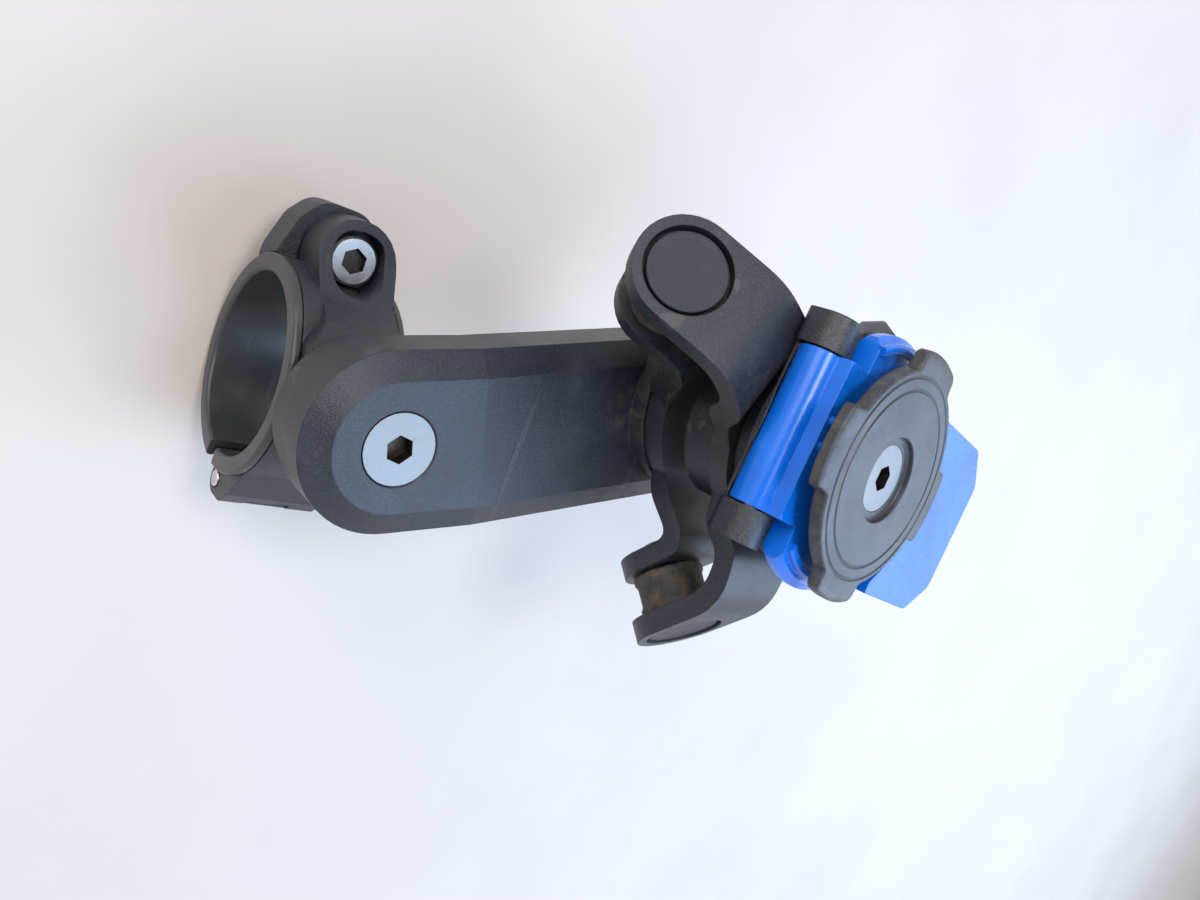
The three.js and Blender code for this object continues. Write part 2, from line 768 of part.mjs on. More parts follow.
// The disc's plan: a round plate with four equal lugs
function discPlan() {
  const shape = new THREE.Shape();
  const steps = 5;
  for (let i = 0; i < 4; i++) {
    const middle = i * 90;
    const lugFrom = middle - disc.lugHalfAngle;
    const lugTo = middle + disc.lugHalfAngle;
    const rootTo = middle + 90 - disc.lugHalfAngle - disc.lugRamp;
    const arcs = [
      [disc.lug, lugFrom, lugTo],
      [disc.root, lugTo + disc.lugRamp, rootTo],
    ];
    for (const [radius, from, to] of arcs) {
      for (let k = 0; k <= steps; k++) {
        const angle = radians(from + ((to - from) * k) / steps);
        const [x, y] = [radius * Math.cos(angle), radius * Math.sin(angle)];
        if (i === 0 && k === 0 && radius === disc.lug) shape.moveTo(x, y);
        else shape.lineTo(x, y);
      }
    }
  }
  shape.closePath();
  return shape;
}

function twistDisc() {
  const bottom = disc.top - disc.plate;
  const floor = disc.top - disc.recessDepth;
  const plate = solidOf(extruded(discPlan(), bottom, disc.top));
  return cut(
    join(plate, disk(disc.neck, head.postTop + seat, bottom + 1)),
    disk(m6.hole, 0, 60, 0, 0, 20),
    countersink(floor),
    disk(disc.recess, floor, disc.top + 1, 0, 0, 40),
  );
}

// Assembly

const mount = new THREE.Group();

const pinLength = cylinderX(hinge.pin, clampFrom - 0.4, clampTo + 0.4, hingeY, hinge.z, 24);
const clampNutBottom = ear.rearBottom + 0.3;
const clampNut = nut(m5.nutFlats, m5.shank + 0.45, clampNutBottom, clampNutBottom + m5.nut, ear.x, earY);
const armNutTop = bossTop - 1.7;
const armNutBottom = armNutTop - m6.thinNut;

mount.add(
  mesh("clamp_front_half", clampFrontHalf(), nylon),
  mesh("clamp_rear_half", clampRearHalf(), nylon),
  mesh("bar_liner", linerSleeve(), nylon),
  mesh("hinge_pin", pinLength, steel),
  mesh("clamp_bolt", clampBolt(), steel),
  mesh("clamp_nut", clampNut, steel),
  mesh("arm_nut", nut(m6.nutFlats, m6.shank + fit, armNutBottom, armNutTop), steel),
);

const armGroup = new THREE.Group();
armGroup.rotation.z = radians(arm.angle);
armGroup.add(
  mesh("arm", armBody(), nylon),
  mesh("arm_bolt", countersunkScrew(armFace - 0.1, armNutBottom + 0.3), steel),
);
mount.add(armGroup);

const axisGroup = new THREE.Group();
axisGroup.position.set(arm.reach, 0, armFace);
axisGroup.rotation.y = radians(arm.bend);
armGroup.add(axisGroup);

const damperNutBottom = -faceDrop - arm.thickness + 0.3;
const damperNut = nut(m6.nutFlats, m6.shank + fit, damperNutBottom, damperNutBottom + m6.nut);
axisGroup.add(
  mesh("damper_bolt", countersunkScrew(damper.innerTop - 0.1, damperNutBottom + 0.1), steel),
  mesh("damper_nut", damperNut, steel),
);

const damperGroup = new THREE.Group();
damperGroup.rotation.z = radians(damper.turn);
damperGroup.add(mesh("inner_chassis", innerChassis(), nylon));
damperGroup.add(mesh("outer_chassis", outerChassis(), nylon));
[1, 2, 3].forEach((number) => {
  const leg = new THREE.Group();
  leg.rotation.z = radians(120 * number);
  leg.add(
    mesh(`grommet_${number}`, grommetBody(), rubber),
    mesh(`grommet_pin_${number}`, grommetPin(), steel),
    mesh(`lobe_cap_${number}`, lobeCap(), nylon),
  );
  damperGroup.add(leg);
});
axisGroup.add(damperGroup);

const headGroup = new THREE.Group();
headGroup.rotation.z = radians(head.turn);
const nutBottom = damper.bossBottom + 0.2;
headGroup.add(
  mesh("head_base", headBase(), nylon),
  mesh("release_lever", leverBody(), blue),
  mesh("lever_pin", leverPin(), steel),
  mesh("lever_spring", leverSpring(), steel),
  mesh("twist_disc", twistDisc(), nylon),
  mesh("disc_screw", countersunkScrew(disc.top - disc.recessDepth - 0.1, nutBottom + 0.3), steel),
);
axisGroup.add(headGroup);
damperGroup.add(mesh("head_nut", nut(m6.nutFlats, m6.shank + fit, nutBottom, nutBottom + m6.nut), steel));

export default mount;
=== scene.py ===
# Phone mount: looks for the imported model, in metres and in its frame.
import math
import bmesh
import bpy
from mathutils import Matrix, Vector


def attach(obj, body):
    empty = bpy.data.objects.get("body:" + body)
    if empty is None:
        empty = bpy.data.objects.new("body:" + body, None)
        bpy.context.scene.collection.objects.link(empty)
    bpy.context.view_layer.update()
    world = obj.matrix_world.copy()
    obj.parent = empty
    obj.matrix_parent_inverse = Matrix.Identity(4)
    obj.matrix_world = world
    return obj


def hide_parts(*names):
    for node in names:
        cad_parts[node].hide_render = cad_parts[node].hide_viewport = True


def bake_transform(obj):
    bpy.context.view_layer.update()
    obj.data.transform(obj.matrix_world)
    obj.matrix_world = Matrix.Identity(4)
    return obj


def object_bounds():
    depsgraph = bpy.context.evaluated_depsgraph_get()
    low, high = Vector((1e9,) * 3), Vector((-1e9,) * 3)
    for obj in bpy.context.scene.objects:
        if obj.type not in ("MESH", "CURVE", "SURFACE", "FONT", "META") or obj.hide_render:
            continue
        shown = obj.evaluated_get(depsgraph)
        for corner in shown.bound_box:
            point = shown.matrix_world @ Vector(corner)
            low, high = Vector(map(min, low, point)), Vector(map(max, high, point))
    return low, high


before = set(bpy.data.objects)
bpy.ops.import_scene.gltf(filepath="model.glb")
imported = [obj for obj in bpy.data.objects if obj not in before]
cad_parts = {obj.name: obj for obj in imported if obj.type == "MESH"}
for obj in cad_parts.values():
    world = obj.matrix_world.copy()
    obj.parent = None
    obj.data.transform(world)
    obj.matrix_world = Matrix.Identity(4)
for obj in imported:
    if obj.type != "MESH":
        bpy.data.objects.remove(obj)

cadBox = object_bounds()
scene = bpy.context.scene
mm = 0.001

# Camera

cameraAt = {
    "spin": (0.28434, 0.69817, -0.28269),  # axis times angle, from the frame to the camera
    "shift": (-51.204, 12.885, -161.909),  # millimetres, in the camera's axes
    "lens": 27.46,
    "sensor": 36,
}


def makeCamera(at):
    spin = Vector(at["spin"])
    turn = Matrix.Rotation(spin.length, 3, spin.normalized())
    data = bpy.data.cameras.new("camera")
    data.lens = at["lens"]
    data.sensor_width = at["sensor"]
    data.clip_start = 0.005
    data.clip_end = 20
    camera = bpy.data.objects.new("camera", data)
    scene.collection.objects.link(camera)
    place = turn.transposed() @ -Vector(at["shift"]) * mm
    camera.matrix_world = Matrix.Translation(place) @ turn.transposed().to_4x4()
    scene.camera = camera
    return camera


camera = makeCamera(cameraAt)
print("camera placed")

# Frames of the arm, the head and the three legs

pose = {
    "armAngle": 16.6, "bend": 7.4, "reach": 64, "face": 37.1,
    "legTurn": 12.4, "headTurn": 153.9, "tilt": 44,
}


def turned(angle, axis):
    return Matrix.Rotation(math.radians(angle), 4, axis)


armFrame = turned(pose["armAngle"], "Z")
armEnd = Matrix.Translation((pose["reach"] * mm, 0, pose["face"] * mm))
axisFrame = armFrame @ armEnd @ turned(pose["bend"], "Y")
headFrame = axisFrame @ turned(pose["headTurn"], "Z")


def legFrame(number):
    return axisFrame @ turned(pose["legTurn"] + 120 * number, "Z") @ turned(90 - pose["tilt"], "Y")


# Materials


class Recipe:
    # A material's node tree, with short calls for the nodes used below

    def __init__(self, name):
        self.material = bpy.data.materials.new(name)
        self.material.use_nodes = True
        self.tree = self.material.node_tree
        self.shader = self.tree.nodes["Principled BSDF"]
        self.coords = self.tree.nodes.new("ShaderNodeTexCoord").outputs["Object"]

    def link(self, output, target):
        self.tree.links.new(output, target)

    def noise(self, scale, detail=4, roughness=0.6, stretch=None):
        node = self.tree.nodes.new("ShaderNodeTexNoise")
        node.inputs["Scale"].default_value = scale
        node.inputs["Detail"].default_value = detail
        node.inputs["Roughness"].default_value = roughness
        source = self.coords
        if stretch:
            mapping = self.tree.nodes.new("ShaderNodeMapping")
            mapping.inputs["Rotation"].default_value = stretch[0]
            mapping.inputs["Scale"].default_value = stretch[1]
            self.link(source, mapping.inputs["Vector"])
            source = mapping.outputs["Vector"]
        self.link(source, node.inputs["Vector"])
        return node.outputs["Fac"]

    def ramp(self, source, low, high, bottom=0.0, top=1.0):
        node = self.tree.nodes.new("ShaderNodeMapRange")
        node.interpolation_type = "SMOOTHSTEP"
        for key, value in zip(("From Min", "From Max", "To Min", "To Max"), (low, high, bottom, top)):
            node.inputs[key].default_value = value
        self.link(source, node.inputs["Value"])
        return node.outputs["Result"]

    def maths(self, operation, a, b):
        node = self.tree.nodes.new("ShaderNodeMath")
        node.operation = operation
        for socket, value in zip(node.inputs, (a, b)):
            if isinstance(value, (int, float)):
                socket.default_value = value
            else:
                self.link(value, socket)
        return node.outputs[0]

    def blend(self, factor, a, b):
        node = self.tree.nodes.new("ShaderNodeMix")
        node.data_type = "RGBA"
        if isinstance(factor, (int, float)):
            node.inputs["Factor"].default_value = factor
        else:
            self.link(factor, node.inputs["Factor"])
        for socket, value in ((node.inputs["A"], a), (node.inputs["B"], b)):
            if isinstance(value, tuple):
                socket.default_value = (*value, 1)
            else:
                self.link(value, socket)
        return node.outputs["Result"]

    def attribute(self, name):
        node = self.tree.nodes.new("ShaderNodeAttribute")
        node.attribute_name = name
        return node.outputs["Fac"]

    def facing(self):
        geometry = self.tree.nodes.new("ShaderNodeNewGeometry")
        split = self.tree.nodes.new("ShaderNodeSeparateXYZ")
        self.link(geometry.outputs["Normal"], split.inputs[0])
        return split.outputs["Z"]

    def near(self, place, inner, outer):
        # 1 within inner of a place, 0 beyond outer, in metres
        node = self.tree.nodes.new("ShaderNodeVectorMath")
        node.operation = "DISTANCE"
        node.inputs[1].default_value = place
        self.link(self.coords, node.inputs[0])
        return self.ramp(node.outputs["Value"], inner, outer, 1.0, 0.0)

    def finish(self, colour, roughness, height=None, depth=0.0, rounding=0.0, **values):
        if isinstance(colour, tuple):
            self.shader.inputs["Base Color"].default_value = (*colour, 1)
        else:
            self.link(colour, self.shader.inputs["Base Color"])
        if isinstance(roughness, (int, float)):
            self.shader.inputs["Roughness"].default_value = roughness
        else:
            self.link(roughness, self.shader.inputs["Roughness"])
        for key, value in values.items():
            self.shader.inputs[key.replace("_", " ")].default_value = value
        normal = None
        if rounding:
            bevel = self.tree.nodes.new("ShaderNodeBevel")
            bevel.samples = 4
            bevel.inputs["Radius"].default_value = rounding
            normal = bevel.outputs["Normal"]
        if height is not None:
            bump = self.tree.nodes.new("ShaderNodeBump")
            bump.inputs["Distance"].default_value = depth
            self.link(height, bump.inputs["Height"])
            if normal:
                self.link(normal, bump.inputs["Normal"])
            normal = bump.outputs["Normal"]
        if normal:
            self.link(normal, self.shader.inputs["Normal"])
        return self.material


def mouldedPlastic(name, look):
    r = Recipe(name)
    grain = r.noise(look["grain"], 3, 0.7)
    cloud = r.noise(70, 5)
    scratch = r.noise(260, 2, 0.4, ((0.4, 0.2, 0.9), (1, 0.05, 1)))
    cross = r.noise(210, 2, 0.4, ((0.1, 0.8, -0.5), (0.06, 1, 1)))
    marks = r.maths("MAXIMUM", r.ramp(scratch, 0.69, 0.73), r.ramp(cross, 0.7, 0.74))
    speck = r.ramp(r.noise(900, 2, 0.5), 0.7, 0.78)
    dirt = r.maths("MULTIPLY", r.ramp(r.noise(150, 7, 0.7), 0.5, 0.75), r.ramp(r.facing(), -0.2, 0.9))
    worn = r.maths("MULTIPLY", r.attribute("wear"), r.ramp(r.noise(500, 4), 0.4, 0.65))
    colour = r.blend(r.ramp(cloud, 0.3, 0.7), look["dark"], look["light"])
    flecks = r.maths("MULTIPLY", r.ramp(grain, 0.45, 0.7), look["fleck"])
    colour = r.blend(flecks, colour, look["fleckColour"])
    colour = r.blend(r.maths("MULTIPLY", dirt, look["dust"]), colour, look["dustColour"])
    colour = r.blend(r.maths("MULTIPLY", worn, look["wear"]), colour, look["wornColour"])
    colour = r.blend(r.maths("MULTIPLY", marks, look["marks"]), colour, look["wornColour"])
    colour = r.blend(r.maths("MULTIPLY", speck, look["specks"]), colour, look["dustColour"])
    for place, inner, outer, share in look.get("patches", ()):
        patch = r.maths("MULTIPLY", r.near(place, inner, outer), r.ramp(r.noise(330, 6, 0.75), 0.42, 0.68))
        colour = r.blend(r.maths("MULTIPLY", patch, share), colour, look["soilColour"])
    roughness = r.ramp(cloud, 0.3, 0.7, look["rough"] - 0.05, look["rough"] + 0.07)
    roughness = r.maths("ADD", roughness, r.maths("MULTIPLY", dirt, 0.15))
    height = r.maths("SUBTRACT", grain, r.maths("MULTIPLY", marks, 0.4))
    return r.finish(colour, roughness, height, look["depth"], look["rounding"], **look["shader"])


soil = (0.13, 0.095, 0.06)
nylonLook = {
    "dark": (0.0066, 0.0082, 0.0135),
    "light": (0.011, 0.0138, 0.0225),
    "grain": 3200,
    "fleck": 0.6,
    "fleckColour": (0.034, 0.041, 0.06),
    "dust": 0.05,
    "dustColour": (0.2, 0.19, 0.18),
    "wear": 0.35,
    "wornColour": (0.1, 0.1, 0.105),
    "marks": 0.16,
    "specks": 0.1,
    "soilColour": soil,
    "rough": 0.4,
    "depth": 0.00009,
    "rounding": 0.0003,
    "shader": {"Specular_IOR_Level": 0.55},
}


def soiled(look, *patches, **changes):
    # Patches of soil, each at a place in millimetres from the head's axis
    placed = [(axisFrame @ Vector([c * mm for c in p]), a, b, s) for p, a, b, s in patches]
    return {**look, "patches": placed, **changes}


nylon = mouldedPlastic("moulded_nylon", nylonLook)
armNylon = mouldedPlastic("arm_nylon", soiled(nylonLook, ((-17, 1, -5), 0.002, 0.008, 0.4)))
chassisLook = soiled(
    nylonLook, ((-20, 10, 12), 0.004, 0.016, 0.35), ((4, -18, 18), 0.003, 0.012, 0.45),
    marks=0.3, dust=0.12, specks=0.22,
)
linerLook = {
    **nylonLook, "dark": (0.026, 0.028, 0.031), "light": (0.036, 0.038, 0.042),
    "fleck": 0.15, "rough": 0.36, "depth": 0.00002,
}
discLook = {
    **nylonLook, "dark": (0.015, 0.0165, 0.022), "light": (0.023, 0.025, 0.033),
    "wear": 0.3, "wornColour": (0.12, 0.1, 0.085), "marks": 0.25, "specks": 0.3,
    "dust": 0.07, "rough": 0.42, "depth": 0.00003,
}
chassisNylon = mouldedPlastic("chassis_nylon", chassisLook)
linerNylon = mouldedPlastic("liner_nylon", linerLook)
discNylon = mouldedPlastic("disc_nylon", discLook)
capGrain = {**nylonLook, "grain": 5200, "fleck": 0.3, "rough": 0.46, "dust": 0.1}
capNylon = mouldedPlastic("cap_nylon", capGrain)
blackGloss = mouldedPlastic("base_nylon", {**nylonLook, "rough": 0.3, "dust": 0.1, "specks": 0.25})


def rubberMaterial():
    r = Recipe("dusty_rubber")
    dirt = r.ramp(r.noise(260, 7, 0.75), 0.42, 0.66)
    rings = r.noise(1500, 3, 0.6)
    colour = r.blend(r.ramp(r.noise(90, 3), 0.3, 0.7), (0.012, 0.011, 0.011), (0.03, 0.028, 0.026))
    colour = r.blend(r.maths("MULTIPLY", dirt, 0.6), colour, soil)
    return r.finish(colour, r.ramp(dirt, 0, 1, 0.6, 0.85), rings, 0.00008)


def steelMaterial(name, look):
    r = Recipe(name)
    turnedLines = r.noise(2600, 2, 0.5)
    cloud = r.noise(300, 5, 0.65)
    spots = r.ramp(r.noise(800, 3, 0.6), 0.62, 0.72)
    colour = r.blend(r.ramp(cloud, 0.3, 0.7), look["dark"], look["light"])
    colour = r.blend(r.maths("MULTIPLY", spots, look["stain"]), colour, (0.16, 0.12, 0.09))
    worn = r.maths("MULTIPLY", r.attribute("wear"), 0.4)
    colour = r.blend(worn, colour, (0.82, 0.82, 0.82))
    # Painted shade: the faces down in the six-sided sockets are darkened almost to black-brown
    colour = r.blend(r.maths("MULTIPLY", r.attribute("recess"), 0.93), colour, (0.05, 0.035, 0.028))
    roughness = r.ramp(cloud, 0.3, 0.7, look["rough"], look["rough"] + 0.14)
    return r.finish(colour, roughness, turnedLines, 0.000012, 0.0001, Metallic=1.0)


leverShader = {
    "Coat_Weight": 0.2, "Coat_Roughness": 0.16, "Specular_IOR_Level": 0.35,
    "Subsurface_Weight": 0.04, "Subsurface_Scale": 0.002,
}


def leverMaterial():
    r = Recipe("blue_lever")
    cloud = r.noise(60, 4)
    speck = r.ramp(r.noise(700, 2, 0.5), 0.72, 0.78)
    scratch = r.ramp(r.noise(300, 2, 0.4, ((0.9, 0.3, 0.1), (1, 0.06, 1))), 0.68, 0.73)
    colour = r.blend(r.ramp(cloud, 0.3, 0.7), (0.0015, 0.115, 0.56), (0.003, 0.145, 0.68))
    colour = r.blend(r.maths("MULTIPLY", scratch, 0.25), colour, (0.25, 0.5, 0.85))
    colour = r.blend(r.maths("MULTIPLY", speck, 0.35), colour, (0.5, 0.55, 0.6))
    worn = r.maths("MULTIPLY", r.attribute("wear"), r.ramp(r.noise(400, 4), 0.42, 0.62))
    colour = r.blend(r.maths("MULTIPLY", worn, 0.25), colour, (0.16, 0.4, 0.85))
    roughness = r.ramp(cloud, 0.3, 0.7, 0.2, 0.32)
    return r.finish(colour, roughness, r.noise(1800, 3), 0.00002, 0.0003, **leverShader)


rubber = rubberMaterial()
brightLook = {"dark": (0.5, 0.5, 0.5), "light": (0.68, 0.68, 0.68), "stain": 0.25, "rough": 0.3}
turnedLook = {"dark": (0.19, 0.19, 0.195), "light": (0.27, 0.265, 0.255), "stain": 0.2, "rough": 0.42}
dullLook = {"dark": (0.42, 0.4, 0.38), "light": (0.62, 0.6, 0.58), "stain": 0.5, "rough": 0.34}
brightSteel = steelMaterial("bright_steel", brightLook)
turnedSteel = steelMaterial("turned_steel", turnedLook)
dullSteel = steelMaterial("dull_steel", dullLook)
leverBlue = leverMaterial()
print("materials made")

# Shared modelling steps


def wearLayer(bm):
    return bm.faces.layers.float.get("wear") or bm.faces.layers.float.new("wear")


def roundEdges(bm, width, angle, segments=3):
    # Rounds every edge sharper than the angle and marks the rounded strips as worn
    wear = wearLayer(bm)
    edges = [e for e in bm.edges if len(e.link_faces) == 2 and e.calc_face_angle(0) > math.radians(angle)]
    made = bmesh.ops.bevel(
        bm, geom=edges, offset=width, offset_type="OFFSET", segments=segments, profile=0.5,
        affect="EDGES", clamp_overlap=True, material=-1,
    )
    for face in made["faces"]:
        face[wear] = 1.0


def finished(bm, name, body, material, replaced, sharp=40):
    bmesh.ops.recalc_face_normals(bm, faces=bm.faces)
    mesh = bpy.data.meshes.new(name)
    bm.to_mesh(mesh)
    bm.free()
    piece = bpy.data.objects.new(name, mesh)
    scene.collection.objects.link(piece)
    mesh.materials.append(material)
    for polygon in mesh.polygons:
        polygon.use_smooth = True
    mesh.set_sharp_from_angle(angle=math.radians(sharp))
    weighted = piece.modifiers.new("weighted", "WEIGHTED_NORMAL")
    weighted.keep_sharp = True
    if isinstance(body, str):
        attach(piece, body)
    else:
        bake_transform(piece)  # two bodies and the two ends of the piece; it is baked where it stands
    if replaced:
        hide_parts(*replaced)
    return piece


def cleanCopy(node):
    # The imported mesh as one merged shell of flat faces
    bm = bmesh.new()
    bm.from_mesh(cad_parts[node].data)
    bmesh.ops.remove_doubles(bm, verts=bm.verts, dist=0.000004)
    bmesh.ops.dissolve_degenerate(bm, edges=bm.edges, dist=0.000004)
    bmesh.ops.dissolve_limit(bm, angle_limit=math.radians(0.6), verts=bm.verts, edges=bm.edges)
    return bm


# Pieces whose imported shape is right: their edges are rounded

rounded = {
    "clamp_front_half": {"body": "clamp", "slot": "nylon", "material": nylon, "edge": 0.45, "angle": 24},
    "clamp_rear_half": {"body": "rear_half", "slot": "nylon", "material": nylon, "edge": 0.4, "angle": 24},
    "hinge_pin": {"body": "clamp", "slot": "steel", "material": brightSteel, "edge": 0.3, "angle": 30},
    "clamp_bolt": {"body": "bolt", "slot": "steel", "material": brightSteel, "edge": 0.15, "angle": 30},
    "clamp_nut": {"body": "rear_half", "slot": "steel", "material": dullSteel, "edge": 0.2, "angle": 30},
    "arm_nut": {"body": "clamp", "slot": "steel", "material": dullSteel, "edge": 0.2, "angle": 30},
    "arm_bolt": {"body": "clamp", "slot": "steel", "material": turnedSteel, "edge": 0.12, "angle": 30},
    "arm": {"body": "arm", "slot": "nylon", "material": armNylon, "edge": 0.7, "angle": 24},
    "damper_bolt": {"body": "arm", "slot": "steel", "material": dullSteel, "edge": 0.12, "angle": 30},
    "damper_nut": {"body": "arm", "slot": "steel", "material": dullSteel, "edge": 0.2, "angle": 30},
    "inner_chassis": {"body": "arm", "slot": "nylon", "material": chassisNylon, "edge": 0.5, "angle": 30},
    "outer_chassis": {
        "body": "floating", "slot": "nylon", "material": chassisNylon, "edge": 0.5, "angle": 30,
    },
    "head_base": {"body": "head", "slot": "nylon", "material": blackGloss, "edge": 0.35, "angle": 30},
    "release_lever": {"body": "lever", "slot": "lever", "material": leverBlue, "edge": 0.5, "angle": 30},
    "lever_pin": {"body": "head", "slot": "steel", "material": dullSteel, "edge": 0.15, "angle": 30},
    "disc_screw": {"body": "head", "slot": "steel", "material": turnedSteel, "edge": 0.12, "angle": 30},
    "head_nut": {"body": "floating", "slot": "steel", "material": dullSteel, "edge": 0.2, "angle": 30},
}


socket = {"radius": 2.4, "below": 0.3, "depth": 2.6}  # of the six-sided sockets, in millimetres


def markPaintedSocketShade(bm, place, s):
    # Marks the faces down in a screw's six-sided socket, which the steel darkens as painted shade
    recess = bm.faces.layers.float.new("recess")
    back = place.inverted()
    corners = [back @ v.co for v in bm.verts]
    across = [(min(c[i] for c in corners) + max(c[i] for c in corners)) / 2 for i in (0, 1)]
    top = max(c.z for c in corners)
    for face in bm.faces:
        middle = back @ face.calc_center_median()
        away = math.hypot(middle.x - across[0], middle.y - across[1])
        sunk = top - middle.z
        if away < s["radius"] * mm and s["below"] * mm < sunk < s["depth"] * mm:
            face[recess] = 1.0


sockets = {"arm_bolt": Matrix.Identity(4), "clamp_bolt": Matrix.Identity(4), "disc_screw": headFrame}


def roundedPiece(node, s):
    bm = cleanCopy(node)
    before = bm.calc_volume()
    roundEdges(bm, s["edge"] * mm, s["angle"])
    if node in sockets:
        markPaintedSocketShade(bm, sockets[node], socket)
    print(node, "rounded; volume kept", round(bm.calc_volume() / before, 3), "faces", len(bm.faces))
    return finished(bm, node + "_piece", s["body"], s["material"], [node])


pieces = {node: roundedPiece(node, settings) for node, settings in rounded.items()}
print("rounded pieces made")

# Turned pieces: a profile spun about its own axis


def spun(points, steps, place, sweep=360.0, closed=True):
    # points are (radius, height) in millimetres, spun about the place's Z axis
    bm = bmesh.new()
    ring = [bm.verts.new((x * mm, 0, z * mm)) for x, z in points]
    count = len(ring)
    edges = [bm.edges.new((ring[i], ring[(i + 1) % count])) for i in range(count if closed else count - 1)]
    whole = sweep >= 360
    bmesh.ops.spin(
        bm, geom=ring + edges, cent=(0, 0, 0), axis=(0, 0, 1), angle=math.radians(sweep),
        steps=steps, use_merge=whole,
    )
    bmesh.ops.remove_doubles(bm, verts=bm.verts, dist=0.000001)
    if not whole:
        bmesh.ops.holes_fill(bm, edges=[e for e in bm.edges if len(e.link_faces) == 1], sides=0)
    bmesh.ops.transform(bm, matrix=place, verts=bm.verts)
    return bm


def arcPoints(cx, cz, radius, start, end, count=5):
    angles = [math.radians(start + (end - start) * i / count) for i in range(count + 1)]
    return [(cx + radius * math.cos(a), cz + radius * math.sin(a)) for a in angles]


liner = {
    "inner": 15.9, "wall": 17.3, "flange": 19.15, "from": -11.95, "to": 7.75, "thick": 1.25, "round": 0.6,
    "gap": 3.2, "gapAt": 9,
}


def linerProfile(s):
    low, high, r, inner, outer, wall = s["from"], s["to"], s["round"], s["inner"], s["flange"], s["wall"]
    right = arcPoints(outer - r, high - r, r, 0, 90) + arcPoints(inner + r, high - r, r, 90, 180)
    left = arcPoints(inner + r, low + r, r, 180, 270) + arcPoints(outer - r, low + r, r, 270, 360)
    bore = [(inner, z) for z in (4, -1, -6)]
    under, over = low + s["thick"], high - s["thick"]
    back = [(outer, under), (wall, under), (wall, -2), (wall, over), (outer, over)]
    return right + bore + left + back


gapAngle = math.degrees(liner["gap"] / liner["inner"])
linerTurn = turned(90, "Y") @ turned(-90 + liner["gapAt"] + gapAngle / 2, "Z")
finished(
    spun(linerProfile(liner), 120, linerTurn, 360 - gapAngle),
    "bar_liner_piece", "clamp", linerNylon, ["bar_liner"],
)
print("liner made")

atAxis = 0.001  # millimetres: how near a spun profile comes to its own axis


def onLobe(number, along):
    return legFrame(number) @ Matrix.Translation((along * mm, 0, 0))


capLook = {"radius": 6.55, "low": 34.4, "top": 35.9, "along": 20.2, "round": 0.25, "dish": 0.12}


def lobeCap(number, s):
    r, big, low, top, dish = s["round"], s["radius"], s["low"], s["top"], s["dish"]
    profile = [(atAxis, low), (big, low), (big, top - r)] + arcPoints(big - r, top - r, r, 20, 90, 3)
    profile += [(big - 0.9, top - dish * 0.5), (big - 1.3, top - dish), (atAxis, top - dish)]
    finished(
        spun(profile, 64, onLobe(number, s["along"]), closed=False),
        f"lobe_cap_{number}_piece", "floating", capNylon, [f"lobe_cap_{number}"],
    )


grommetLook = {"radius": 6.7, "bore": 2.2, "from": 24.5, "to": 32.0, "along": 20.2}


def grommet(number, s):
    low, high, big = s["from"], s["to"], s["radius"]
    profile = [(s["bore"], low), (big - 0.5, low)] + arcPoints(big - 0.5, low + 0.5, 0.5, -80, 0, 3)
    waist = [(big, low + 1.3), (big - 0.35, low + 1.75), (big - 0.42, low + 2.6), (big - 0.42, high - 2.6)]
    profile += waist + [(big - 0.35, high - 1.75), (big, high - 1.3)]
    profile += arcPoints(big - 0.5, high - 0.5, 0.5, 0, 90, 3) + [(s["bore"], high)]
    place = onLobe(number, s["along"])
    between = ("arm", "floating", place @ Vector((0, 0, low * mm)), place @ Vector((0, 0, high * mm)))
    finished(
        spun(profile, 48, place),
        f"grommet_{number}_piece", between, rubber, [f"grommet_{number}"], sharp=60,
    )


rivetLook = {
    "head": (3.3, 19.3), "round": 0.45, "foot": 18.9, "shoulder": (3.75, 20.25), "neck": 20.3,
    "shank": 1.95, "tip": 1.6, "straight": 32.6, "top": 32.95, "along": 20.2,
}


def rivet(number, s):
    profile = [(atAxis, s["foot"])] + arcPoints(*s["head"], s["round"], -90, 0, 3) + [s["shoulder"]]
    profile += [(s["shank"], s["neck"]), (s["shank"], s["straight"])]
    profile += [(s["tip"], s["top"]), (atAxis, s["top"])]
    finished(
        spun(profile, 40, onLobe(number, s["along"]), closed=False),
        f"grommet_pin_{number}_piece", "arm", dullSteel, [f"grommet_pin_{number}"],
    )


for number in (1, 2, 3):
    lobeCap(number, capLook)
    grommet(number, grommetLook)
    rivet(number, rivetLook)
print("caps, grommets and rivets made")

# Raised ribs and nubs on the lever's ring

ribs = {
    "low": 30.9, "top": 32.3, "half": 0.8, "round": 0.5,
    "arcs": ((20.7, -92, -57), (19.5, 57, 90)),  # radius, and the angles it runs between
    "nubs": ((15.6, -3.8), (15.3, 0.4)), "nub": 0.75,
}


def joinBodies(piece, bodies):
    # Adds closed bodies to a piece's own mesh
    bm = bmesh.new()
    bm.from_mesh(piece.data)
    for body in bodies:
        spare = bpy.data.meshes.new("spare")
        bmesh.ops.recalc_face_normals(body, faces=body.faces)
        body.to_mesh(spare)
        body.free()
        start = len(bm.faces)
        bm.from_mesh(spare)
        bpy.data.meshes.remove(spare)
        bm.faces.ensure_lookup_table()
        for face in bm.faces[start:]:
            face.smooth = True
    bm.to_mesh(piece.data)
    bm.free()
    piece.data.set_sharp_from_angle(angle=math.radians(40))


